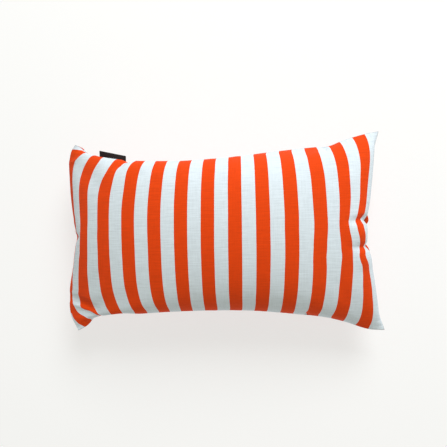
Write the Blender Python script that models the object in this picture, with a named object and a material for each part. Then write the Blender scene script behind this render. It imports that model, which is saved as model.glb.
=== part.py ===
"""Filled lumbar cushion of striped canvas, lying on its back, with a folded tab in its seam.

Units are metres. +X runs along the cushion's length, +Y towards the long side that holds the
tab, and +Z up through the crown. The origin is the centre of the footprint, on the surface
that the cushion lies on.
"""
from collections import namedtuple

import bmesh
import bpy
from mathutils import Vector

# Cut size of each panel, seam to seam
PANEL_LENGTH = 0.500
PANEL_HEIGHT = 0.300
CLOTH_THICKNESS = 0.0007

# Filled form
SEAM_HEIGHT = 0.067
CROWN = 0.071
END_SQUARENESS = 4.0
SIDE_SQUARENESS = 2.2
END_ROUNDING = 0.60
DEEPEST_FOLD_SHARE = 0.6
SIDE_ROUNDING = 0.50

# Cloth that the curve over the crown takes up, as a share of the drawn-in half size
LENGTH_TAKE_UP = 0.144
HEIGHT_TAKE_UP = 0.323

# Label tab
TAB_START = -0.1772
TAB_END = -0.1362
TAB_REACH = 0.0085
TAB_THICKNESS = 0.0014
TAB_STEPS = 10
TAB_FOLD_STEPS = 4

# Mesh of the filled solid
LENGTH_SEGMENTS = 54
HEIGHT_SEGMENTS = 34
EDGE_CROWDING = 1.30
MERGE_DISTANCE = 0.0001
GAP = 0.0003

# Corner tips: x, y and lift above the seam's level
TOP_LEFT = Vector((-0.2155, 0.1400, 0.0030))
TOP_RIGHT = Vector((0.2405, 0.1385, 0.0000))
BOTTOM_LEFT = Vector((-0.2180, -0.1490, 0.0040))
BOTTOM_RIGHT = Vector((0.2420, -0.1475, 0.0000))

# A point of a seam: the place on the panel's cut edge, and where it lies on the filled cushion
Seam = namedtuple("Seam", "cut x y lift")

TOP_SEAM = (
    Seam(-0.250, *TOP_LEFT),
    Seam(-0.230, -0.2030, 0.1300, 0.0010),
    Seam(-0.203, -0.1880, 0.1228, 0.0000),
    Seam(-0.165, -0.1530, 0.1135, 0.0000),
    Seam(-0.146, -0.1370, 0.1092, -0.0010),
    Seam(-0.127, -0.1270, 0.1095, -0.0010),
    Seam(-0.069, -0.0740, 0.1075, 0.0000),
    Seam(0.000, -0.0050, 0.1088, 0.0000),
    Seam(0.064, 0.0590, 0.1138, 0.0000),
    Seam(0.122, 0.1160, 0.1182, 0.0000),
    Seam(0.170, 0.1630, 0.1208, 0.0000),
    Seam(0.217, 0.2055, 0.1322, 0.0000),
    Seam(0.250, *TOP_RIGHT),
)

BOTTOM_SEAM = (
    Seam(-0.250, *BOTTOM_LEFT),
    Seam(-0.222, -0.2000, -0.1365, 0.0020),
    Seam(-0.200, -0.1880, -0.1260, -0.0030),
    Seam(-0.184, -0.1825, -0.1250, -0.0030),
    Seam(-0.165, -0.1680, -0.1262, 0.0000),
    Seam(-0.108, -0.1122, -0.1230, 0.0000),
    Seam(-0.050, -0.0575, -0.1212, 0.0000),
    Seam(0.007, -0.0010, -0.1190, 0.0000),
    Seam(0.083, 0.0750, -0.1212, 0.0000),
    Seam(0.122, 0.1130, -0.1268, 0.0000),
    Seam(0.160, 0.1495, -0.1290, 0.0000),
    Seam(0.198, 0.1865, -0.1380, 0.0000),
    Seam(0.250, *BOTTOM_RIGHT),
)

LEFT_SEAM = (
    Seam(-0.150, *BOTTOM_LEFT),
    Seam(-0.122, -0.2285, -0.1240, 0.0000),
    Seam(-0.088, -0.2300, -0.0900, 0.0000),
    Seam(-0.045, -0.2205, -0.0450, 0.0000),
    Seam(0.000, -0.2115, 0.0000, 0.0000),
    Seam(0.045, -0.2190, 0.0430, 0.0000),
    Seam(0.088, -0.2260, 0.0850, 0.0000),
    Seam(0.122, -0.2265, 0.1170, 0.0000),
    Seam(0.150, *TOP_LEFT),
)

RIGHT_SEAM = (
    Seam(-0.150, *BOTTOM_RIGHT),
    Seam(-0.105, 0.2342, -0.1020, 0.0000),
    Seam(-0.060, 0.2280, -0.0570, 0.0000),
    Seam(-0.029, 0.2228, -0.0280, 0.0000),
    Seam(-0.008, 0.2208, -0.0090, 0.0000),
    Seam(0.012, 0.2222, 0.0080, 0.0000),
    Seam(0.050, 0.2270, 0.0430, 0.0000),
    Seam(0.100, 0.2338, 0.0900, 0.0000),
    Seam(0.150, *TOP_RIGHT),
)

# A fold in the cloth: its ends on the flat panel, its depth at each end and its half width
Fold = namedtuple("Fold", "name faces start end start_depth end_depth half_width")

FRONT_ONLY = (1,)
BOTH_FACES = (1, -1)

FOLDS = (
    Fold("tab crease", FRONT_ONLY, (-0.134, 0.150), (-0.165, 0.078), 0.0060, 0.0000, 0.0110),
    Fold("lower ear crease", FRONT_ONLY, (-0.194, -0.150), (-0.230, -0.104),
         0.0070, 0.0025, 0.0170),
    Fold("upper ear crease", FRONT_ONLY, (-0.212, 0.150), (-0.238, 0.104), 0.0035, 0.0000, 0.0100),
    Fold("upper pinch", BOTH_FACES, (0.250, 0.012), (0.208, 0.016), 0.0070, 0.0000, 0.0100),
    Fold("lower pinch", BOTH_FACES, (0.250, -0.029), (0.214, -0.027), 0.0060, 0.0000, 0.0095),
    Fold("left pinch", BOTH_FACES, (-0.250, 0.004), (-0.214, 0.000), 0.0030, 0.0000, 0.0140),
    Fold("seam pucker", BOTH_FACES, (0.170, 0.150), (0.164, 0.128), 0.0030, 0.0000, 0.0110),
    Fold("seam dent", BOTH_FACES, (0.140, -0.150), (0.134, -0.128), 0.0030, 0.0000, 0.0110),
)

CANVAS_COLOUR = (0.83, 0.10, 0.02, 1.0)
CANVAS_ROUGHNESS = 0.85
TAB_COLOUR = (0.017, 0.007, 0.008, 1.0)
TAB_ROUGHNESS = 0.55


def clear_scene():
    for old in list(bpy.context.scene.objects):
        bpy.data.objects.remove(old)


def finish_material(name, colour, roughness):
    material = bpy.data.materials.new(name)
    material.use_nodes = True
    shader = material.node_tree.nodes["Principled BSDF"]
    shader.inputs["Base Color"].default_value = colour
    shader.inputs["Roughness"].default_value = roughness
    shader.inputs["Metallic"].default_value = 0.0
    return material


def seam_slope(rows, index):
    """Slope of the seam at a row, from the rows on either side of it."""
    before = rows[max(index - 1, 0)]
    after = rows[min(index + 1, len(rows) - 1)]
    return (Vector(after[1:]) - Vector(before[1:])) / (after.cut - before.cut)


def seam_point(rows, cut):
    """Point of a filled seam at a place on its cut edge, on a smooth curve through the rows."""
    index = 0
    while index < len(rows) - 2 and cut > rows[index + 1].cut:
        index += 1
    low = rows[index]
    high = rows[index + 1]
    span = high.cut - low.cut
    t = (cut - low.cut) / span
    return (
        Vector(low[1:]) * (2 * t ** 3 - 3 * t ** 2 + 1)
        + seam_slope(rows, index) * span * (t ** 3 - 2 * t ** 2 + t)
        + Vector(high[1:]) * (3 * t ** 2 - 2 * t ** 3)
        + seam_slope(rows, index + 1) * span * (t ** 3 - t ** 2)
    )


def sheet_between_seams(u, v):
    """Point of the flat sheet that the four seams hold; u and v run from -1 to 1."""
    right_share = (u + 1) / 2
    top_share = (v + 1) / 2
    length_cut = u * PANEL_LENGTH / 2
    height_cut = v * PANEL_HEIGHT / 2
    across = (
        seam_point(BOTTOM_SEAM, length_cut).lerp(seam_point(TOP_SEAM, length_cut), top_share)
        + seam_point(LEFT_SEAM, height_cut).lerp(seam_point(RIGHT_SEAM, height_cut), right_share)
    )
    corners = BOTTOM_LEFT.lerp(BOTTOM_RIGHT, right_share).lerp(
        TOP_LEFT.lerp(TOP_RIGHT, right_share), top_share
    )
    return across - corners


def take_up(share, place):
    """Extra spread of the cloth over the crown; it is nil at the middle and at the seam."""
    power = 1 / share + 1
    return share * (place - place * abs(place) ** (power - 1))


def fullness_along(u):
    """Share of the crown's height at a place along the cushion, nil at its two ends."""
    spread = u + take_up(LENGTH_TAKE_UP, u)
    return max(0.0, 1 - abs(spread) ** END_SQUARENESS) ** END_ROUNDING


def fullness_across(v):
    """Share of the crown's height at a place across the cushion, nil at its long seams."""
    spread = v + take_up(HEIGHT_TAKE_UP, v)
    return max(0.0, 1 - abs(spread) ** SIDE_SQUARENESS) ** SIDE_ROUNDING


def crown_height(u, v):
    """Height of the filling over the sheet between the seams; u and v run from -1 to 1."""
    return CROWN * fullness_along(u) * fullness_across(v)


def cushion_point(u, v, face):
    """Point of the filled cushion; face is 1 for the front panel and -1 for the back one."""
    point = sheet_between_seams(u, v)
    half_length = (RIGHT_SEAM[4].x - LEFT_SEAM[4].x) / 2
    half_height = (TOP_SEAM[7].y - BOTTOM_SEAM[7].y) / 2
    point.x += half_length * take_up(LENGTH_TAKE_UP, u) * fullness_across(v)
    point.y += half_height * take_up(HEIGHT_TAKE_UP, v) * fullness_along(u)
    point.z += SEAM_HEIGHT + face * crown_height(u, v)
    return point


def fold_depth(u, v, face):
    """How far the folds press the cloth in at a place on a panel."""
    place = Vector((u * PANEL_LENGTH / 2, v * PANEL_HEIGHT / 2))
    depth = 0.0
    for fold in FOLDS:
        if face not in fold.faces:
            continue
        start = Vector(fold.start)
        run = Vector(fold.end) - start
        t = min(max((place - start).dot(run) / run.length_squared, 0.0), 1.0)
        distance = (place - start - run * t).length / fold.half_width
        deepest = fold.start_depth + (fold.end_depth - fold.start_depth) * t
        depth = max(depth, deepest * max(0.0, 1 - distance ** 2) ** 2)
    return min(depth, DEEPEST_FOLD_SHARE * crown_height(u, v))


def crowd_to_edge(place):
    """Draw the mesh lines closer together towards the seams."""
    side = 1 if place > 0 else -1
    return side * (1 - (1 - min(abs(place), 1.0)) ** EDGE_CROWDING)


def panel_mesh(face):
    """One panel over the filling: a grid laid on the crown and pressed in along its folds."""
    panel = bmesh.new()
    bmesh.ops.create_grid(
        panel, x_segments=LENGTH_SEGMENTS, y_segments=HEIGHT_SEGMENTS, size=1.0
    )
    depths = {}
    for vert in panel.verts:
        u = crowd_to_edge(vert.co.x)
        v = crowd_to_edge(vert.co.y)
        on_seam = max(abs(u), abs(v)) > 1 - MERGE_DISTANCE
        depths[vert] = 0.0 if on_seam else fold_depth(u, v, face)
        vert.co = cushion_point(u, v, face)
        vert.co.z += 0.0 if on_seam else face * CLOTH_THICKNESS
    if face < 0:
        bmesh.ops.reverse_faces(panel, faces=panel.faces)
    panel.normal_update()
    for vert, depth in depths.items():
        outward = (vert.normal + Vector((0.0, 0.0, face))).normalized()
        vert.co -= outward * depth
        vert.co.z = max(vert.co.z, 0.0)
    mesh = bpy.data.meshes.new("panel")
    panel.to_mesh(mesh)
    panel.free()
    return mesh


def build_cushion(collection):
    """The filled cushion: front and back panel closed along the seam all round."""
    body = bmesh.new()
    for face in BOTH_FACES:
        panel = panel_mesh(face)
        body.from_mesh(panel)
        bpy.data.meshes.remove(panel)
    bmesh.ops.remove_doubles(body, verts=body.verts, dist=MERGE_DISTANCE)
    mesh = bpy.data.meshes.new("cushion")
    body.to_mesh(mesh)
    body.free()
    mesh.shade_smooth()
    mesh.materials.append(
        finish_material("striped canvas", CANVAS_COLOUR, CANVAS_ROUGHNESS)
    )
    cushion = bpy.data.objects.new("cushion", mesh)
    collection.objects.link(cushion)
    return cushion


def tab_outline():
    """Section of the folded tab, seam edge first: across the seam, and through its thickness."""
    half = TAB_THICKNESS / 2
    straight = TAB_REACH - half
    fold = []
    for step in range(1, TAB_FOLD_STEPS):
        turn = step / TAB_FOLD_STEPS
        rise = (1 - (2 * turn - 1) ** 2) ** 0.5
        fold.append((straight + half * rise, half - TAB_THICKNESS * turn))
    return [(0.0, half), (straight, half), *fold, (straight, -half), (0.0, -half)]


def build_tab(collection):
    """The label tab, folded double, standing out of the top seam that catches its two ends."""
    tab = bmesh.new()
    outline = tab_outline()
    rings = []
    for step in range(TAB_STEPS + 1):
        cut_x = TAB_START + (TAB_END - TAB_START) * step / TAB_STEPS
        root = top_seam_at(cut_x)
        rings.append([
            tab.verts.new((cut_x, root.y + GAP + reach, SEAM_HEIGHT + root.z + rise))
            for reach, rise in outline
        ])
    for near, far in zip(rings, rings[1:]):
        for index in range(len(outline)):
            following = (index + 1) % len(outline)
            tab.faces.new((near[index], far[index], far[following], near[following]))
    tab.faces.new(rings[0])
    tab.faces.new(rings[-1][::-1])
    bmesh.ops.recalc_face_normals(tab, faces=tab.faces)
    mesh = bpy.data.meshes.new("label_tab")
    tab.to_mesh(mesh)
    tab.free()
    mesh.materials.append(finish_material("dark leather", TAB_COLOUR, TAB_ROUGHNESS))
    label = bpy.data.objects.new("label_tab", mesh)
    collection.objects.link(label)
    return label


def top_seam_at(x):
    """Point of the top seam at a place along the filled cushion's length."""
    low = -PANEL_LENGTH / 2
    high = PANEL_LENGTH / 2
    for _ in range(40):
        middle = (low + high) / 2
        if seam_point(TOP_SEAM, middle).x < x:
            low = middle
        else:
            high = middle
    return seam_point(TOP_SEAM, low)


def centre_on_footprint(pieces):
    """Put the origin at the centre of the footprint, in the points of each piece."""
    points = [vert.co for piece in pieces for vert in piece.data.vertices]
    centre = Vector((
        (min(p.x for p in points) + max(p.x for p in points)) / 2,
        (min(p.y for p in points) + max(p.y for p in points)) / 2,
        0.0,
    ))
    for piece in pieces:
        for vert in piece.data.vertices:
            vert.co -= centre
        piece.data.update()


clear_scene()
back_cushion = bpy.data.collections.new("back_cushion")
bpy.context.scene.collection.children.link(back_cushion)
centre_on_footprint([build_cushion(back_cushion), build_tab(back_cushion)])
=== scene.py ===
import math
from collections import namedtuple

import bpy
import numpy as np
from mathutils import Matrix, Vector


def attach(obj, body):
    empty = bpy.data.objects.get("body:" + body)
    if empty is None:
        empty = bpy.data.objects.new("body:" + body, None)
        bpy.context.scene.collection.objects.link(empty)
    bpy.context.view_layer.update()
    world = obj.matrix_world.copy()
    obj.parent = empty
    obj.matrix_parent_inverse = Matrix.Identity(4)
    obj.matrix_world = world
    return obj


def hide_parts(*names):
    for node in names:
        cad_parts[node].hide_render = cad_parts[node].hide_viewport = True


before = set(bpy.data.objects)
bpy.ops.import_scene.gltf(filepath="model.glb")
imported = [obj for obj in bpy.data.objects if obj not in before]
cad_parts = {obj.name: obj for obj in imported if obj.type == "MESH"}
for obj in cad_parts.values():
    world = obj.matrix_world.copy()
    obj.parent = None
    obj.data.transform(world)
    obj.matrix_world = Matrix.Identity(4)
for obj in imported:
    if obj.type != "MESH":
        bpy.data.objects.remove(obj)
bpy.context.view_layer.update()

# Cushion: two panels of striped canvas, each cut 500 x 300 mm, sewn together all round with a
# knife-edge seam and filled with fibre. It lies on its back, held by nothing, and its sides
# draw in as it fills, so that the corners stand out as ears.
PANEL_LENGTH = 0.500
PANEL_HEIGHT = 0.300
SEAM_LEVEL = 0.067
LENGTH_CELLS = 100
HEIGHT_CELLS = 60
CURVE_STEPS = 4000

# The filling of it: the panels start flat, with their edges gathered over EDGE_REACH, and bulge a
# little. The seam is drawn in over RAMP_FRAMES while they are pumped up to FILL_VOLUME.
EDGE_REACH = 0.080
START_BULGE = 0.010
RAMP_FRAMES = 22
SETTLED_FRAME = 34
FILL_VOLUME = 0.0110
PRESSURE = 116.0
STRETCH_STIFFNESS = 40.0
SHEAR_STIFFNESS = 0.3
BENDING_STIFFNESS = 0.3
EASING_PASSES = 10
EASING_SHARE = 0.5

# A place that the seam runs through on the filled cushion: x, y and lift above the seam's level
Seam = namedtuple("Seam", "x y lift")
TOP_LEFT = Seam(-0.2205, 0.1430, 0.003)
TOP_RIGHT = Seam(0.2355, 0.1450, 0.000)
BOTTOM_LEFT = Seam(-0.2220, -0.1425, 0.004)
BOTTOM_RIGHT = Seam(0.2375, -0.1445, 0.000)
TOP_SEAM = (
    TOP_LEFT,
    Seam(-0.2140, 0.1398, 0.001),
    Seam(-0.2058, 0.1320, 0.000),
    Seam(-0.1870, 0.1202, 0.000),
    Seam(-0.1590, 0.1118, 0.000),
    Seam(-0.1380, 0.1097, 0.000),
    Seam(-0.1000, 0.1092, 0.000),
    Seam(-0.0616, 0.1080, 0.000),
    Seam(-0.0037, 0.1125, 0.000),
    Seam(0.0533, 0.1185, 0.000),
    Seam(0.1103, 0.1232, 0.000),
    Seam(0.1481, 0.1255, 0.000),
    Seam(0.1620, 0.1260, -0.002),
    Seam(0.1815, 0.1325, 0.000),
    Seam(0.2174, 0.1420, 0.000),
    TOP_RIGHT,
)
BOTTOM_SEAM = (
    BOTTOM_LEFT,
    Seam(-0.2080, -0.1350, 0.002),
    Seam(-0.1930, -0.1185, 0.000),
    Seam(-0.1850, -0.1140, -0.001),
    Seam(-0.1362, -0.1172, 0.000),
    Seam(-0.0992, -0.1136, 0.000),
    Seam(-0.0634, -0.1125, 0.000),
    Seam(-0.0068, -0.1122, 0.000),
    Seam(0.0510, -0.1135, 0.000),
    Seam(0.0885, -0.1180, 0.000),
    Seam(0.1275, -0.1225, 0.000),
    Seam(0.1438, -0.1240, 0.000),
    Seam(0.1816, -0.1325, 0.000),
    Seam(0.2165, -0.1435, 0.000),
    BOTTOM_RIGHT,
)
LEFT_SEAM = (
    BOTTOM_LEFT,
    Seam(-0.2345, -0.1195, 0.000),
    Seam(-0.2362, -0.0855, 0.000),
    Seam(-0.2290, -0.0405, 0.000),
    Seam(-0.2258, -0.0180, 0.000),
    Seam(-0.2228, -0.0025, -0.002),
    Seam(-0.2245, 0.0130, 0.000),
    Seam(-0.2292, 0.0475, 0.000),
    Seam(-0.2318, 0.0895, 0.000),
    Seam(-0.2312, 0.1215, 0.000),
    Seam(-0.2272, 0.1350, 0.001),
    TOP_LEFT,
)
RIGHT_SEAM = (
    BOTTOM_RIGHT,
    Seam(0.2235, -0.0975, 0.000),
    Seam(0.2172, -0.0525, 0.000),
    Seam(0.2150, -0.0330, 0.000),
    Seam(0.2138, -0.0245, -0.002),
    Seam(0.2102, -0.0150, 0.000),
    Seam(0.2045, -0.0050, 0.000),
    Seam(0.2078, 0.0060, 0.000),
    Seam(0.2130, 0.0150, -0.002),
    Seam(0.2155, 0.0240, 0.000),
    Seam(0.2153, 0.0490, 0.000),
    Seam(0.2225, 0.0960, 0.000),
    TOP_RIGHT,
)


def smooth_weights(knots, places):
    """Weights that carry the values at some knots to a smooth curve, at each of the places."""
    own = np.eye(len(knots))
    slopes = np.gradient(own, knots, axis=0)
    index = np.clip(np.searchsorted(knots, places) - 1, 0, len(knots) - 2)
    span = (knots[index + 1] - knots[index])[:, None]
    t = (places - knots[index])[:, None] / span
    return (
        own[index] * (2 * t ** 3 - 3 * t ** 2 + 1)
        + slopes[index] * span * (t ** 3 - 2 * t ** 2 + t)
        + own[index + 1] * (3 * t ** 2 - 2 * t ** 3)
        + slopes[index + 1] * span * (t ** 3 - t ** 2)
    )


def run_along(points):
    """Length along a line of points, from its first point."""
    steps = np.linalg.norm(np.diff(points, axis=0), axis=1)
    return np.concatenate(([0.0], np.cumsum(steps)))


def seam_points(rows, count):
    """Evenly spaced points of a filled seam, on a smooth curve through its rows."""
    known = np.array(rows)
    knots = run_along(known)
    fine = np.linspace(knots[0], knots[-1], CURVE_STEPS)
    run = run_along(smooth_weights(knots, fine) @ known)
    return smooth_weights(knots, np.interp(np.linspace(0, run[-1], count), run, fine)) @ known


def sewn_grids():
    """Cut places, rest places and held places of one panel's grid, each (length, height, 3)."""
    cut_x = np.linspace(-PANEL_LENGTH / 2, PANEL_LENGTH / 2, LENGTH_CELLS + 1)
    cut_y = np.linspace(-PANEL_HEIGHT / 2, PANEL_HEIGHT / 2, HEIGHT_CELLS + 1)
    top = seam_points(TOP_SEAM, len(cut_x))
    bottom = seam_points(BOTTOM_SEAM, len(cut_x))
    left = seam_points(LEFT_SEAM, len(cut_y))
    right = seam_points(RIGHT_SEAM, len(cut_y))
    u = (cut_x / PANEL_LENGTH + 0.5)[:, None, None]
    v = (cut_y / PANEL_HEIGHT + 0.5)[None, :, None]
    held = (
        bottom[:, None] * (1 - v) + top[:, None] * v
        + left[None] * (1 - u) + right[None] * u
        - (bottom[0] * (1 - u) + bottom[-1] * u) * (1 - v)
        - (top[0] * (1 - u) + top[-1] * u) * v
    )
    held[:, :, 2] += SEAM_LEVEL
    rest = np.zeros((LENGTH_CELLS + 1, HEIGHT_CELLS + 1, 3))
    rest[:, :, 0] = cut_x[:, None]
    rest[:, :, 1] = cut_y[None, :]
    rest[:, :, 2] = SEAM_LEVEL

    def near(distance):
        return np.clip(1 - distance / EDGE_REACH, 0, 1) ** 2

    def shrink(points, length):
        return run_along(points)[-1] / length - 1

    top_share = shrink(top, PANEL_LENGTH) * near(PANEL_HEIGHT / 2 - cut_y)
    bottom_share = shrink(bottom, PANEL_LENGTH) * near(PANEL_HEIGHT / 2 + cut_y)
    left_share = shrink(left, PANEL_HEIGHT) * near(PANEL_LENGTH / 2 + cut_x)
    right_share = shrink(right, PANEL_HEIGHT) * near(PANEL_LENGTH / 2 - cut_x)
    rest[:, :, 0] *= 1 + (top_share + bottom_share)[None, :]
    rest[:, :, 1] *= 1 + (left_share + right_share)[:, None]
    return cut_x, cut_y, rest, held


def sewn_panels(name, front, back):
    """A mesh of two panels that share their rim, and the vertex numbers of each panel's grid."""
    rows, columns = front.shape[:2]
    front_numbers = np.arange(rows * columns).reshape(rows, columns)
    inner = np.zeros((rows, columns), bool)
    inner[1:-1, 1:-1] = True
    back_numbers = front_numbers.copy()
    back_numbers[inner] = rows * columns + np.arange(inner.sum())
    quads = []
    for numbers, turn in ((front_numbers, 1), (back_numbers, -1)):
        ring = (numbers[:-1, :-1], numbers[1:, :-1], numbers[1:, 1:], numbers[:-1, 1:])
        quads.append(np.stack(ring, -1).reshape(-1, 4)[:, ::turn])
    mesh = bpy.data.meshes.new(name)
    points = np.concatenate((front.reshape(-1, 3), back[inner]))
    mesh.from_pydata(points.tolist(), [], np.concatenate(quads).tolist())
    mesh.update()
    return mesh, front_numbers, back_numbers


def fill_cushion(cushion, filled, rim):
    """Pump the sewn panels up with Cloth while the seam is drawn to where the photo has it."""
    scene = bpy.context.scene
    cushion.shape_key_add(name="flat")
    drawn = cushion.shape_key_add(name="filled")
    drawn.data.foreach_set("co", filled.astype(np.float32).ravel())
    drawn.value = 0.0
    drawn.keyframe_insert("value", frame=1)
    drawn.value = 1.0
    drawn.keyframe_insert("value", frame=RAMP_FRAMES)
    seam = cushion.vertex_groups.new(name="seam")
    seam.add(rim, 1.0, "REPLACE")
    cloth = cushion.modifiers.new("Cloth", "CLOTH")
    settings = cloth.settings
    settings.vertex_group_mass = "seam"
    settings.pin_stiffness = 1.0
    settings.quality = 8
    settings.mass = 0.011
    settings.air_damping = 1.0
    settings.tension_stiffness = STRETCH_STIFFNESS
    settings.compression_stiffness = STRETCH_STIFFNESS
    settings.shear_stiffness = SHEAR_STIFFNESS
    settings.bending_stiffness = BENDING_STIFFNESS
    settings.tension_damping = 5.0
    settings.compression_damping = 5.0
    settings.shear_damping = 5.0
    settings.bending_damping = 0.5
    settings.use_pressure = True
    settings.uniform_pressure_force = 0.0
    settings.use_pressure_volume = True
    settings.target_volume = FILL_VOLUME
    settings.pressure_factor = PRESSURE
    settings.effector_weights.gravity = 0.0
    cloth.collision_settings.use_collision = False
    cloth.point_cache.frame_start = 1
    cloth.point_cache.frame_end = SETTLED_FRAME
    for frame_number in range(1, SETTLED_FRAME + 1):
        scene.frame_set(frame_number)
    evaluated = cushion.evaluated_get(bpy.context.evaluated_depsgraph_get())
    settled = np.zeros(len(cushion.data.vertices) * 3, np.float32)
    evaluated.data.vertices.foreach_get("co", settled)
    cushion.modifiers.remove(cloth)
    cushion.shape_key_clear()
    cushion.vertex_groups.clear()
    scene.frame_set(1)
    return settled.reshape(-1, 3).astype(float)


def eased(points, mesh, rim):
    """The points with small ripples smoothed away, and the seam left as it is."""
    edges = np.array([edge.vertices[:] for edge in mesh.edges])
    ends = np.concatenate((edges, edges[:, ::-1]))
    count = np.bincount(ends[:, 0], minlength=len(points))[:, None]
    share = np.full((len(points), 1), EASING_SHARE)
    share[rim] = 0.0
    for _ in range(EASING_PASSES):
        total = np.zeros_like(points)
        np.add.at(total, ends[:, 0], points[ends[:, 1]])
        points = points + share * (total / count - points)
    return points


cut_x, cut_y, rest, held = sewn_grids()
length_share, height_share = cut_x / cut_x[-1], cut_y / cut_y[-1]
dome = np.sqrt(np.outer(1 - length_share ** 2, 1 - height_share ** 2))
crown = dome[:, :, None] * np.array((0, 0, 1))
mesh, front_numbers, back_numbers = sewn_panels(
    "striped_cushion", rest + START_BULGE * crown, rest - START_BULGE * crown)
cushion = bpy.data.objects.new("striped_cushion", mesh)
bpy.context.scene.collection.objects.link(cushion)
filled = np.zeros((len(mesh.vertices), 3))
filled[back_numbers] = held
filled[front_numbers] = held
rim = np.unique(np.concatenate((
    front_numbers[0], front_numbers[-1], front_numbers[:, 0], front_numbers[:, -1]))).tolist()
settled = fill_cushion(cushion, filled, rim)
settled = eased(settled, mesh, rim)
front_points, back_points = settled[front_numbers], settled[back_numbers]

# The settled cloth goes on a finer grid, with its cells closest near the seam. It is pressed flat
# where the cushion rests on its back, and CROWN_HEIGHT is how high it stands then.
FINE_LENGTH_CELLS = 264
FINE_HEIGHT_CELLS = 160
CLOSENESS = 0.3
CROWN_HEIGHT = 0.1362
CONTACT_ROUNDING = 0.0030

# A fold: the cut places that it runs through, its depth at each (less than nil is a ridge), its
# half width, and its roundness (1 is a sharp crease, 2 is soft)
Fold = namedtuple("Fold", "path depths half_width roundness")
EAR_CREASE = (
    (-0.2520, -0.1030), (-0.2449, -0.1041), (-0.2309, -0.1065), (-0.2155, -0.1111), (-0.2007, -0.1171),
    (-0.1966, -0.1224), (-0.1935, -0.1500),
)
FRONT_FOLDS = (
    Fold(((-0.252, -0.094), (-0.231, -0.098), (-0.2155, -0.1025), (-0.199, -0.109)),
         (0.0010, 0.0035, 0.0035, 0.0010), 0.0120, 2),
    Fold(EAR_CREASE, (0.0000, -0.0008, -0.0020, -0.0025, -0.0020, -0.0005, 0.0000), 0.0050, 1),
    Fold(((-0.198, -0.1215), (-0.1945, -0.1300), (-0.192, -0.1500)), (0.0005, 0.0050, 0.0060), 0.0080, 1),
    Fold(((-0.2206, 0.1500), (-0.2206, 0.1350), (-0.2256, 0.1271), (-0.2336, 0.1211), (-0.2463, 0.1190)),
         (0.0000, -0.0015, -0.0025, -0.0025, -0.0010), 0.0090, 1),
    Fold(((0.2520, 0.0165), (0.2300, 0.0170), (0.2087, 0.0176), (0.1936, 0.0154), (0.1760, 0.0128)),
         (0.0010, 0.0050, 0.0060, 0.0035, 0.0000), 0.0100, 1.3),
    Fold(((0.2520, -0.0220), (0.2300, -0.0222), (0.2064, -0.0224), (0.1928, -0.0228), (0.1800, -0.0232)),
         (0.0010, 0.0040, 0.0040, 0.0020, 0.0000), 0.0085, 1.3),
    Fold(((0.2330, -0.0005), (0.2200, -0.0005), (0.2030, -0.0010), (0.1760, -0.0030)),
         (0.0000, -0.0018, -0.0036, 0.0000), 0.0190, 2),
    Fold(((0.2380, -0.0400), (0.2250, -0.0405), (0.2080, -0.0405), (0.1850, -0.0420)),
         (0.0000, -0.0018, -0.0028, 0.0000), 0.0190, 2),
    Fold(((-0.2500, 0.0015), (-0.2350, 0.0015), (-0.2180, 0.0020)), (0.0005, 0.0035, 0.0000), 0.0100, 1.3),
    Fold(((-0.1400, 0.1280), (-0.1494, 0.1085), (-0.1590, 0.1000)), (0.0030, 0.0040, 0.0000), 0.0120, 1.5),
    Fold(((-0.1950, 0.1400), (-0.1747, 0.1028), (-0.1709, 0.0871), (-0.1762, 0.0700)),
         (0.0000, -0.0008, -0.0012, 0.0000), 0.0200, 2),
    Fold(((-0.2050, 0.1340), (-0.1850, 0.1370), (-0.1600, 0.1370), (-0.1200, 0.1360), (-0.0800, 0.1360)),
         (0.0000, 0.0014, 0.0028, 0.0026, 0.0000), 0.0130, 2),
    Fold(((0.1630, 0.1500), (0.1600, 0.1300), (0.1536, 0.1231)), (0.0025, 0.0020, 0.0000), 0.0070, 1.3),
    Fold(((0.1300, -0.1500), (0.1236, -0.1261), (0.1149, -0.1147)), (0.0025, 0.0020, 0.0000), 0.0090, 1.5),
)
BACK_FOLDS = (
    Fold(((0.2520, 0.0185), (0.2440, 0.0180), (0.2250, 0.0160)), (-0.0030, -0.0068, 0.0000), 0.0140, 2),
    Fold(((0.2520, -0.0310), (0.2440, -0.0310), (0.2250, -0.0300)), (-0.0030, -0.0068, 0.0000), 0.0150, 2),
    Fold(((-0.2080, -0.1460), (-0.2000, -0.1440), (-0.1920, -0.1450)), (0.0005, 0.0026, 0.0010), 0.0080, 1.5),
    Fold(((-0.2470, 0.1485), (-0.2390, 0.1470), (-0.2280, 0.1475)), (-0.0015, -0.0045, -0.0010), 0.0050, 1.3),
)


def closer_at_ends(size, cells):
    """Places from end to end of a panel's side, closest at the ends."""
    steps = np.linspace(-1, 1, cells + 1)
    return size / 2 * (steps * (1 + CLOSENESS) - CLOSENESS * steps ** 3)


def press(points, normals, places, folds):
    """Press folds into a panel's points, along their normals."""
    depth = np.zeros(points.shape[:2])
    for fold in folds:
        deepest = np.zeros_like(depth)
        for index in range(len(fold.path) - 1):
            start = np.array(fold.path[index])
            run = np.array(fold.path[index + 1]) - start
            t = np.clip((places - start) @ run / (run @ run), 0, 1)
            distance = np.linalg.norm(places - start - t[..., None] * run, axis=-1)
            slope = (1 - np.clip(distance / fold.half_width, 0, 1) ** fold.roundness) ** 2
            level = (fold.depths[index] * (1 - t) + fold.depths[index + 1] * t) * slope
            deepest = np.where(np.abs(level) > np.abs(deepest), level, deepest)
        depth += deepest
    points -= normals * depth[..., None]


# Gathers: small ripples that the seam's stitching draws into the cloth beside it. Their spacing
# wanders and their depth swells and fades along the seam.
GATHER_DEPTH = 0.00030
GATHER_REACH = 0.0045
GATHER_LENGTH = 0.0135
BACK_GATHER_SHIFT = 0.0060
WANDER_LENGTH = 0.0470
WANDER = 1.8
SWELL = 0.3
SWELL_RATE = 31.0


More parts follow.
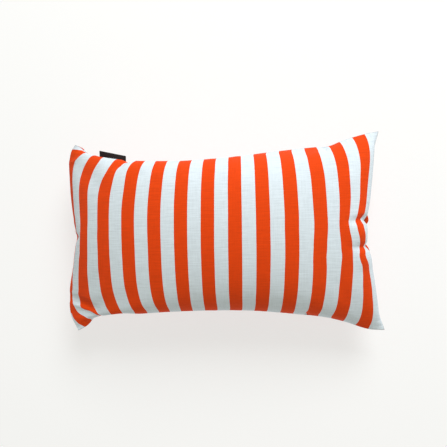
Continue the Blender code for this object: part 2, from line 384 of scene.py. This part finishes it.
def gathers(places, shift):
    """Depth of the gathers at the cut places of a panel; shift moves them along the seam."""
    depth = np.zeros(places.shape[:2])
    for axis, size in ((0, PANEL_HEIGHT), (1, PANEL_LENGTH)):
        run = places[..., axis] + shift
        from_seam = (size / 2 - np.abs(places[..., 1 - axis])) / GATHER_REACH
        wander = WANDER * np.sin(2 * math.pi * run / WANDER_LENGTH)
        swell = (1 - SWELL) + SWELL * np.cos(SWELL_RATE * run)
        ripple = np.sin(2 * math.pi * run / GATHER_LENGTH + wander) * swell
        depth += GATHER_DEPTH * ripple * from_seam * np.exp(1 - from_seam)
    return depth


fine_x = closer_at_ends(PANEL_LENGTH, FINE_LENGTH_CELLS)
fine_y = closer_at_ends(PANEL_HEIGHT, FINE_HEIGHT_CELLS)
x_weights = smooth_weights(cut_x, fine_x)
y_weights = smooth_weights(cut_y, fine_y)
front_points = np.einsum("ia,jb,abk->ijk", x_weights, y_weights, front_points, optimize=True)
back_points = np.einsum("ia,jb,abk->ijk", x_weights, y_weights, back_points, optimize=True)
places = np.stack(np.meshgrid(fine_x, fine_y, indexing="ij"), -1)
mesh, front_numbers, back_numbers = sewn_panels("striped_cushion", front_points, back_points)
normals = np.zeros(len(mesh.vertices) * 3, np.float32)
mesh.vertices.foreach_get("normal", normals)
normals = normals.reshape(-1, 3)
press(front_points, normals[front_numbers], places, FRONT_FOLDS)
press(back_points, normals[back_numbers], places, BACK_FOLDS)
front_points -= normals[front_numbers] * gathers(places, 0.0)[..., None]
back_points -= normals[back_numbers] * gathers(places, BACK_GATHER_SHIFT)[..., None]
points = np.zeros((len(mesh.vertices), 3))
points[back_numbers] = back_points
points[front_numbers] = front_points
points[:, 2] -= points[:, 2].max() - CROWN_HEIGHT
low = points[:, 2]
ease = np.clip(0.5 + 0.5 * low / CONTACT_ROUNDING, 0, 1)
points[:, 2] = np.where(low > CONTACT_ROUNDING, low, CONTACT_ROUNDING * ease ** 2)
mesh.vertices.foreach_set("co", points.astype(np.float32).ravel())
mesh.update()
mesh.shade_smooth()
cushion.data = mesh

# Stripes: orange and white, 19 mm wide, woven in along the height. On the front panel they drift
# off their cut places, as the cloth is drawn. The tables give that drift in mm at places in mm:
# a row for each place across the cushion, a column for each place along it. The EAR table is for
# the folded corner alone. Both were fitted to where the photograph has the edges of the stripes.
STRIPE = 0.0191
FIRST_STRIPE = -0.2144
MM = 0.001
Drift = namedtuple("Drift", "across shifts")
FRONT_ALONG = (-250, -238, -226, -213, -199, -184, -169, -152, -112, -56,
               0, 56, 112, 157, 186, 207, 222, 236, 250)
FRONT_DRIFT = (
    Drift(150, (-9.2, -20.2, -25.8, -25.9, -23.5, -20.2, -17, -13.8, -8, -0.5,
                1.6, -0.2, -2.3, -2.5, -1.6, -2.8, -3.3, -4.1, -5.4)),
    Drift(138, (-0.8, -9.5, -12.3, -14, -14.8, -15.6, -16, -15.3, -7.2, 0,
                1.6, 1.6, 0, -1.6, -0.4, -1.8, -2.2, -3.7, -6.3)),
    Drift(126, (3.5, -1.6, -6.6, -7.8, -9, -12, -14.5, -17.4, -4.8, -1,
                1.1, 1.5, 0.4, -0.3, 0.2, -1.1, -0.9, -2.8, -6.3)),
    Drift(114, (6.4, 3.8, 0.6, -3.3, -7, -10.2, -15.7, -11.4, -5, -1.3,
                0.8, 1.2, 0.5, -0.4, -0.2, -0.7, 0.4, -1.7, -6.2)),
    Drift(100, (7.3, 4.9, 2.4, 1.3, -1, -5.6, -10.1, -5.6, -4, -1.5,
                0.1, 0.8, 0.4, -0.8, -0.8, 0.5, 2.7, -0.7, -6.3)),
    Drift(75, (4.3, 3.9, 5.3, 4, 3.7, 2.1, 0.8, -0.9, -2.3, -1.7,
               -0.4, -0, -0.7, -2.2, -0.3, 4.3, 7.6, 2.5, -6.3)),
    Drift(40, (2.4, 2.5, 3.6, 4.3, 4.8, 5, 3.9, 2.7, 0.2, -1.1,
               -1, -1, -2.4, -3.8, -0.2, 8.2, 12.8, 5.8, -6.2)),
    Drift(22, (-3.7, -2.4, 0.3, 3.7, 5, 5.4, 4.4, 3.1, 0.7, -1.1,
               -1, -1.3, -3, -4.3, 2.3, 14.4, 13.6, 5, -6.1)),
    Drift(13, (-4.2, -1.5, 1.3, 4.1, 5.6, 5.5, 4.4, 3.2, 0.7, -1,
               -0.9, -1.3, -2.9, -4.5, 4, 17.4, 10.5, 3.8, -5.9)),
    Drift(4, (-2.7, 0.3, 3.3, 5.2, 5.9, 6.1, 4.7, 3.4, 0.7, -1,
              -0.8, -1.3, -2.8, -4.4, 3.4, 18.1, 14.6, 5.6, -6.1)),
    Drift(-12, (1.7, 3.3, 4.7, 6, 6.5, 6.2, 4.7, 3.4, 0.5, -0.9,
                -0.5, -1.2, -2.9, -3.5, -1.2, 11.8, 19.3, 10.1, -5.4)),
    Drift(-24, (5.5, 5.6, 5.7, 6.4, 7, 6.2, 4.9, 3.6, 0.5, -0.9,
                -0.3, -1.1, -2.7, -3.1, -3.1, 8.1, 14.9, 10, -4.1)),
    Drift(-32, (7.8, 7.6, 7.7, 7.8, 7.4, 6.4, 4.8, 3.4, 0.6, -0.9,
                -0.2, -0.9, -2.5, -2.4, -3.6, 15.2, 21.9, 10.9, -5.2)),
    Drift(-50, (12.2, 11.6, 10.2, 9.2, 8.6, 7, 4.7, 3.3, 0.7, -0.7,
                0.1, -0.3, -1.6, -2.5, -2.9, 4.8, 11.5, 5.8, -6)),
    Drift(-80, (6.9, 9.3, 12.4, 11.1, 7.3, 5.1, 3.1, 1.8, -0.1, -0.5,
                1.1, 1.2, 0.3, -0.6, -1, 2.1, 4.6, 0.8, -6.3)),
    Drift(-97, (9.4, 14.1, 14.9, 10.5, 5.7, 3.4, 1.9, -0.4, -2, -0,
                1.5, 2.5, 1.7, 0.7, -1, 0.4, 3.2, -0.2, -6.1)),
    Drift(-107, (5.4, 8.7, 12.2, 8.8, 5.6, 2.4, -0.3, -2.9, -3.9, 0.4,
                 1.8, 3, 2.5, 1.5, -0.7, -0.7, 1.5, -0.9, -5.9)),
    Drift(-114, (3.7, 5.1, 5.8, 4.6, 3, -0.3, -2.9, -4.7, -5.3, 0.6,
                 1.9, 3.7, 2.9, 2.1, 0.1, -1.4, 0.5, -1.6, -5.9)),
    Drift(-122, (1.2, 1.2, 0.9, 0.2, -1.1, -2.9, -4.2, -4.1, -5, 1.4,
                 2.6, 4.4, 3.2, 3.4, 0.9, -1.6, -0.7, -2.4, -6.1)),
    Drift(-133, (-3.4, -3.7, -4.1, -4.2, -4.3, -4.1, -3.1, -1.6, -1.5, 2.8,
                 4.4, 5.6, 3.6, 4.7, 1.8, -0.9, -1.5, -3.3, -6.4)),
    Drift(-150, (-11.3, -10.9, -10.3, -9.2, -7.5, -5.1, -2.7, -0.3, 3.2, 5.6,
                 7.3, 6.7, 1.1, -0.6, 1.7, 0.8, -0.2, -2.5, -5.6)),
)
EAR_ALONG = (-250, -236, -222, -208, -194)
EAR_DRIFT = (
    Drift(-103, (5.8, 11.6, 18.1, 11.9, 3.6)),
    Drift(-115, (-4.6, 3.4, 3.2, -6.4, -13)),
    Drift(-126, (-4.7, -6.5, -11.3, -13.7, -19.8)),
    Drift(-138, (-9.4, -11.7, -16.1, -17.8, -22.6)),
    Drift(-150, (-15.3, -14.1, -10.9, -13.1, -22.2)),
)


def drift_of(rows, columns):
    """Drift of the stripes over the fine grid, from a table's rows and column places."""
    places_along = np.array(columns) * MM
    places_across = np.array([row.across for row in reversed(rows)]) * MM
    shifts = np.array([row.shifts for row in reversed(rows)]) * MM
    over_x = smooth_weights(places_along, np.clip(fine_x, places_along[0], places_along[-1]))
    over_y = smooth_weights(places_across, np.clip(fine_y, places_across[0], places_across[-1]))
    return over_x @ shifts.T @ over_y.T


def corner_map(name, front_map, back_map):
    """A UV map from values at the grid points of both panels."""
    corners = []
    for panel_map, turn in ((front_map, 1), (back_map, -1)):
        ring = (panel_map[:-1, :-1], panel_map[1:, :-1], panel_map[1:, 1:], panel_map[:-1, 1:])
        corners.append(np.stack(ring, 2).reshape(-1, 4, 2)[:, ::turn])
    layer = mesh.uv_layers.new(name=name)
    layer.data.foreach_set("uv", np.concatenate(corners).astype(np.float32).ravel())


crease_x, crease_y = np.array(EAR_CREASE).T
below_crease = places[..., 1] < np.interp(places[..., 0], crease_x, crease_y)
in_ear = below_crease & (places[..., 0] < crease_x[-1])
striped = places.copy()
striped[..., 0] += np.where(in_ear, drift_of(EAR_DRIFT, EAR_ALONG), drift_of(FRONT_DRIFT, FRONT_ALONG))

# The end stripes run on to the seam: the drift may not bring one more stripe in beyond them
WHITE_END = 0.2436
ORANGE_END = -0.2520
ORANGE_END_REACH = 0.1200
striped[..., 0] = np.minimum(striped[..., 0], WHITE_END)
end_stripe = np.abs(places[..., 1]) < ORANGE_END_REACH
striped[..., 0] = np.where(end_stripe, np.maximum(striped[..., 0], ORANGE_END), striped[..., 0])
corner_map("cloth", places, places)
corner_map("stripes", striped, places)


def linear(code):
    """A hex sRGB colour as linear values."""
    values = [int(code[i:i + 2], 16) / 255 for i in (0, 2, 4)]
    return [c / 12.92 if c <= 0.04045 else ((c + 0.055) / 1.055) ** 2.4 for c in values] + [1]


def add_node(tree, kind, inputs=(), **settings):
    """A shader node with its settings. Inputs, in order or by name, take a value, a socket or a node,
    which stands for its first output."""
    node = tree.nodes.new("ShaderNode" + kind)
    for name, value in settings.items():
        setattr(node, name, value)
    for name, value in (inputs if isinstance(inputs, dict) else dict(enumerate(inputs))).items():
        if isinstance(value, bpy.types.Node):
            value = value.outputs[0]
        if isinstance(value, bpy.types.NodeSocket):
            tree.links.new(value, node.inputs[name])
        else:
            node.inputs[name].default_value = value
    return node


def new_material(name):
    """An empty material with its Principled BSDF."""
    material = bpy.data.materials.new(name)
    material.use_nodes = True
    return material, material.node_tree, material.node_tree.nodes["Principled BSDF"]


# Striped woven canvas: a plain weave of 0.6 mm yarns that are dyed before weaving, with a few
# thicker ones, the slubs, 25 mm long and 1.4 mm wide. The eye gets a matt cloth with crisp stripe
# edges and a fine uneven grain. Painted shade darkens the gaps between yarns, and a fine line
# along the seam in place of its groove.
YARN = 0.0006
YARN_DIP = 0.45
YARN_RELIEF = 0.00012
SLUBS_A_METRE = (40.0, 700.0, 1.0)
CROSS_SLUBS_A_METRE = (700.0, 40.0, 1.0)
CROSS_SLUB_SHARE = 0.5
SLUB_RELIEF = 0.6
ORANGE_YARN = "E6460C"
WHITE_YARN = "DBE6F0"
# Painted shade in the gaps between yarns, and the slubs' own tone
GAP_PAINTED_SHADE = 0.645
WEAVE_PAINTED_SHADE = 0.18
SLUB_TONE = 0.36
# Painted shade in a fine band along the seam, in place of its groove
SEAM_SHADE_WIDTH = 0.0010
SEAM_PAINTED_SHADE = 0.72
canvas, tree, shader = new_material("striped woven canvas")
cloth_uv = add_node(tree, "UVMap", uv_map="cloth")
cloth_along, cloth_across = add_node(tree, "SeparateXYZ", [cloth_uv]).outputs[:2]

# Stripes by the drifted map: orange for half of each repeat, with an edge half a yarn wide
stripe_uv = add_node(tree, "UVMap", uv_map="stripes")
stripe_along = add_node(tree, "SeparateXYZ", [stripe_uv])
from_first = add_node(tree, "Math", (stripe_along, FIRST_STRIPE), operation="SUBTRACT")
phase = add_node(tree, "Math", (from_first, 2 * STRIPE), operation="FLOORED_MODULO")
off_middle = add_node(tree, "Math", (phase, STRIPE / 2), operation="SUBTRACT")
from_middle = add_node(tree, "Math", [off_middle], operation="ABSOLUTE")
orange_share = add_node(
    tree, "MapRange", (from_middle, STRIPE / 2 + YARN / 4, STRIPE / 2 - YARN / 4, 0.0, 1.0),
    interpolation_type="SMOOTHSTEP")

# Weave: round yarns, with warp and weft on top in turn
warp_count = add_node(tree, "Math", (cloth_along, YARN), operation="DIVIDE")
weft_count = add_node(tree, "Math", (cloth_across, YARN), operation="DIVIDE")
yarn_rounds = []
for yarn_count in (warp_count, weft_count):
    part = add_node(tree, "Math", [yarn_count], operation="FRACT")
    angle = add_node(tree, "Math", (part, math.pi), operation="MULTIPLY")
    yarn_rounds.append(add_node(tree, "Math", [angle], operation="SINE"))
warp_round, weft_round = yarn_rounds
yarn_tops = []
for own_round, other_round in ((weft_round, warp_round), (warp_round, weft_round)):
    dip = add_node(tree, "Math", (other_round, YARN_DIP, 1 - YARN_DIP), operation="MULTIPLY_ADD")
    yarn_tops.append(add_node(tree, "Math", (own_round, dip), operation="MULTIPLY"))
warp_number = add_node(tree, "Math", [warp_count], operation="FLOOR")
weft_number = add_node(tree, "Math", [weft_count], operation="FLOOR")
crossing = add_node(tree, "Math", (warp_number, weft_number), operation="ADD")
warp_over = add_node(tree, "Math", (crossing, 2.0), operation="FLOORED_MODULO")
weave = add_node(tree, "Mix", {0: warp_over, 2: yarn_tops[0], 3: yarn_tops[1]})

# Slubs along the weft, and fainter ones along the warp
slub_noises = []
for slubs_a_metre in (SLUBS_A_METRE, CROSS_SLUBS_A_METRE):
    spread = add_node(tree, "VectorMath", (cloth_uv, slubs_a_metre), operation="MULTIPLY")
    slub_noises.append(add_node(tree, "TexNoise", {"Vector": spread, "Scale": 1.0, "Detail": 2.0}))
cross_slubs = add_node(tree, "Math", (slub_noises[1], CROSS_SLUB_SHARE), operation="MULTIPLY")
slubs = add_node(tree, "Math", (slub_noises[0], cross_slubs), operation="ADD")

# Painted shade along the seam, in place of its groove, by the distance from the panel's edge
off_end = add_node(tree, "Math", [cloth_along], operation="ABSOLUTE")
off_side = add_node(tree, "Math", [cloth_across], operation="ABSOLUTE")
from_end = add_node(tree, "Math", (PANEL_LENGTH / 2, off_end), operation="SUBTRACT")
from_side = add_node(tree, "Math", (PANEL_HEIGHT / 2, off_side), operation="SUBTRACT")
from_seam = add_node(tree, "Math", (from_end, from_side), operation="MINIMUM")
painted_seam_shade = add_node(
    tree, "MapRange", (from_seam, 0.0, SEAM_SHADE_WIDTH, SEAM_PAINTED_SHADE, 1.0), interpolation_type="SMOOTHSTEP")

# The dyed yarn, with painted shade in the gaps between yarns and along the seam, and its relief
dyed = add_node(
    tree, "Mix", {0: orange_share, 6: linear(WHITE_YARN), 7: linear(ORANGE_YARN)}, data_type="RGBA")
# Painted shade: darker in the gaps between yarns, lighter on their tops
gap_shade_by_weave = add_node(tree, "Math", (weave, WEAVE_PAINTED_SHADE, GAP_PAINTED_SHADE), operation="MULTIPLY_ADD")
slub_tone_and_painted_gap_shade = add_node(tree, "Math", (slubs, SLUB_TONE, gap_shade_by_weave), operation="MULTIPLY_ADD")
shade = add_node(tree, "Math", (slub_tone_and_painted_gap_shade, painted_seam_shade), operation="MULTIPLY")
shaded = add_node(tree, "VectorMath", {0: dyed.outputs[2], "Scale": shade}, operation="SCALE")
height = add_node(tree, "Math", (slubs, SLUB_RELIEF, weave), operation="MULTIPLY_ADD")
bump = add_node(tree, "Bump", {"Height": height, "Strength": 0.6, "Distance": YARN_RELIEF})
tree.links.new(shaded.outputs[0], shader.inputs["Base Color"])
tree.links.new(bump.outputs[0], shader.inputs["Normal"])
shader.inputs["Roughness"].default_value = 0.85
shader.inputs["Specular IOR Level"].default_value = 0.12
shader.inputs["Sheen Weight"].default_value = 0.04
shader.inputs["Sheen Roughness"].default_value = 0.5
mesh.materials.clear()
mesh.materials.append(canvas)
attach(cushion, "root")
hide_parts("cushion")

# Label tab: a strip of dark brown leather, cut 42 mm wide and folded double. Its two ends are
# caught in the top seam near the left corner, and the fold stands 9 mm out. It is left bare.
LABEL_LEFT = Vector((-0.1829, 0.1240, 0.0666))
LABEL_RIGHT = Vector((-0.1419, 0.1145, 0.0666))
LABEL_REACH = 0.0088
LABEL_ROOT = 0.0030
LAYER = 0.0007
LAYER_GAP = 0.0002
LABEL_STEPS = 48
LABEL_WAVE = 0.0005
LABEL_WAVE_TURNS = 1.6
LABEL_WAVE_START = 0.2
FOLD_STEPS = 8
EDGE_SOFTNESS = 0.00015


def folded_section():
    """Section of the folded strip, as (reach, rise): round the outside, then back inside."""
    section = []
    for half, turn in ((LAYER + LAYER_GAP / 2, 1), (LAYER_GAP / 2, -1)):
        bend = LABEL_REACH - LAYER - LAYER_GAP / 2
        side = [(-LABEL_ROOT, half), (-LABEL_ROOT / 2, half), (0.0, half), (bend / 2, half)]
        for step in range(FOLD_STEPS + 1):
            angle = math.pi * step / FOLD_STEPS
            side.append((bend + half * math.sin(angle), half * math.cos(angle)))
        side += [(bend / 2, -half), (0.0, -half), (-LABEL_ROOT / 2, -half), (-LABEL_ROOT, -half)]
        section += side[::turn]
    return np.array(section)


def folded_label(name):
    """The strip, as its section carried along the seam with a slight wave."""
    section = folded_section()
    share = np.linspace(0, 1, LABEL_STEPS + 1)[:, None]
    ring = np.zeros((LABEL_STEPS + 1, len(section), 3))
    ring += np.array(LABEL_LEFT) + (np.array(LABEL_RIGHT) - np.array(LABEL_LEFT)) * share[:, :, None]
    ring[:, :, 1] += section[:, 0]
    wave = LABEL_WAVE * np.sin(math.pi * (LABEL_WAVE_TURNS * share + LABEL_WAVE_START))
    lift = wave * np.clip(section[:, 0] / LABEL_REACH, 0, 1)
    ring[:, :, 2] += section[:, 1] + lift
    count = len(section)
    numbers = np.arange(ring.shape[0] * count).reshape(-1, count)
    beside = np.roll(numbers, -1, axis=1)
    quads = np.stack((numbers[:-1], numbers[1:], beside[1:], beside[:-1]), -1).reshape(-1, 4).tolist()
    half = count // 2
    for end, turn in ((numbers[0], 1), (numbers[-1], -1)):
        inner = end[half:][::-1]
        for index in range(half - 1):
            corners = (end[index], end[index + 1], inner[index + 1], inner[index])
            quads.append([int(number) for number in corners][::turn])
    strip = bpy.data.meshes.new(name)
    strip.from_pydata(ring.reshape(-1, 3).tolist(), [], quads)
    strip.update()
    strip.shade_smooth()
    return strip


label = bpy.data.objects.new("folded_label", folded_label("folded_label"))
bpy.context.scene.collection.objects.link(label)
soft_edge = label.modifiers.new("Soft edges", "BEVEL")
soft_edge.width = EDGE_SOFTNESS
soft_edge.segments = 2
soft_edge.limit_method = "ANGLE"
evaluated = label.evaluated_get(bpy.context.evaluated_depsgraph_get())
label.data = bpy.data.meshes.new_from_object(evaluated)
label.modifiers.clear()

# Dark brown leather: dyed through and left matt, with a grain of 0.7 mm and worn patches of
# 4.5 mm. The eye gets an almost black strip with a soft, uneven shine.
GRAINS_A_METRE = 1400.0
PATCHES_A_METRE = 220.0
GRAIN_RELIEF = 0.0001
LEAST_ROUGHNESS = 0.50
ROUGHNESS_SPREAD = 0.25
DARK_DYE = "120709"
WORN_DYE = "1F1112"
leather, tree, shader = new_material("dark brown leather")
spot = add_node(tree, "TexCoord").outputs["Object"]
grain = add_node(tree, "TexVoronoi", {"Vector": spot, "Scale": GRAINS_A_METRE})
wear = add_node(tree, "TexNoise", {"Vector": spot, "Scale": PATCHES_A_METRE, "Detail": 4.0})
tone = add_node(tree, "Mix", {0: wear, 6: linear(DARK_DYE), 7: linear(WORN_DYE)}, data_type="RGBA")
roughness = add_node(tree, "Math", (wear, ROUGHNESS_SPREAD, LEAST_ROUGHNESS), operation="MULTIPLY_ADD")
pebbles = add_node(tree, "Bump", {"Height": grain, "Strength": 0.5, "Distance": GRAIN_RELIEF})
tree.links.new(tone.outputs[2], shader.inputs["Base Color"])
tree.links.new(roughness.outputs[0], shader.inputs["Roughness"])
tree.links.new(pebbles.outputs[0], shader.inputs["Normal"])
shader.inputs["Specular IOR Level"].default_value = 0.3
label.data.materials.append(leather)
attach(label, "root")
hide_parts("label_tab")

# Floor: a plain pale sweep that the cushion lies on, flat and large enough to fill every view. It
# is lit from below, so the eye gets a bright ground on which the shadow almost goes out.
FLOOR_SIZE = 8.0
bpy.ops.mesh.primitive_plane_add(size=FLOOR_SIZE)
floor = bpy.context.object
floor.name = "floor"
floor_paint, tree, shader = new_material("white sweep, lit from below")
shader.inputs["Base Color"].default_value = linear("A8A8A8")
shader.inputs["Roughness"].default_value = 0.9
shader.inputs["Specular IOR Level"].default_value = 0.0
shader.inputs["Emission Color"].default_value = linear("FFFFFF")
shader.inputs["Emission Strength"].default_value = 0.60
floor.data.materials.append(floor_paint)

# Light: a large soft lamp, which stands past the top of the picture and a little right, and a
# dim warm surround that fills the shade
KEY_PLACE = Vector((0.60, 1.60, 1.54))
KEY_AIM = Vector((0.0, 0.0, 0.06))
KEY_SIZE = 1.2
KEY_POWER = 42.0
KEY_TINT = (0.97, 0.985, 1.0)
SURROUND_TINT = (1.0, 0.99, 0.84, 1.0)
SURROUND_STRENGTH = 0.435
key_light = bpy.data.lights.new("key", "AREA")
key_light.size = KEY_SIZE
key_light.energy = KEY_POWER
key_light.color = KEY_TINT
lamp = bpy.data.objects.new("key", key_light)
bpy.context.scene.collection.objects.link(lamp)
lamp.location = KEY_PLACE
lamp.rotation_euler = (KEY_PLACE - KEY_AIM).to_track_quat("Z", "Y").to_euler()
world = bpy.data.worlds.new("soft surround")
bpy.context.scene.world = world
world.use_nodes = True
surround = world.node_tree.nodes["Background"]
surround.inputs["Color"].default_value = SURROUND_TINT
surround.inputs["Strength"].default_value = SURROUND_STRENGTH
bpy.context.scene.view_settings.view_transform = "Standard"

# Camera: the photograph's view of the front panel, from almost straight above the middle. AIM is
# a point of the cushion, and AIM_PIXEL is where the picture has it.
SENSOR_WIDTH = 36.0
IMAGE_SIZE = 447
VIEW_DISTANCE = 0.850
VIEW_YAW = math.radians(6.3)
VIEW_ROLL = math.radians(1.36)
SEAM_PLANE_PER_PIXEL = 0.001502
AIM = Vector((-0.0057, 0.0045, 0.067))
AIM_PIXEL = (216.1, 231.5)
camera_data = bpy.data.cameras.new("camera")
camera = bpy.data.objects.new("camera", camera_data)
bpy.context.scene.collection.objects.link(camera)
bpy.context.scene.camera = camera
camera_data.sensor_width = SENSOR_WIDTH
camera_data.lens = SENSOR_WIDTH * VIEW_DISTANCE / SEAM_PLANE_PER_PIXEL / IMAGE_SIZE
back = Vector((math.sin(VIEW_YAW), 0.0, math.cos(VIEW_YAW)))
right = Vector((math.cos(VIEW_YAW), 0.0, -math.sin(VIEW_YAW)))
up = Vector((0.0, 1.0, 0.0))
rolled_right = right * math.cos(VIEW_ROLL) - up * math.sin(VIEW_ROLL)
rolled_up = right * math.sin(VIEW_ROLL) + up * math.cos(VIEW_ROLL)
turn = Matrix((rolled_right, rolled_up, back)).transposed().to_4x4()
camera.matrix_world = Matrix.Translation(AIM + back * VIEW_DISTANCE) @ turn
camera_data.shift_x = (IMAGE_SIZE / 2 - AIM_PIXEL[0]) / IMAGE_SIZE
camera_data.shift_y = -(IMAGE_SIZE / 2 - AIM_PIXEL[1]) / IMAGE_SIZE
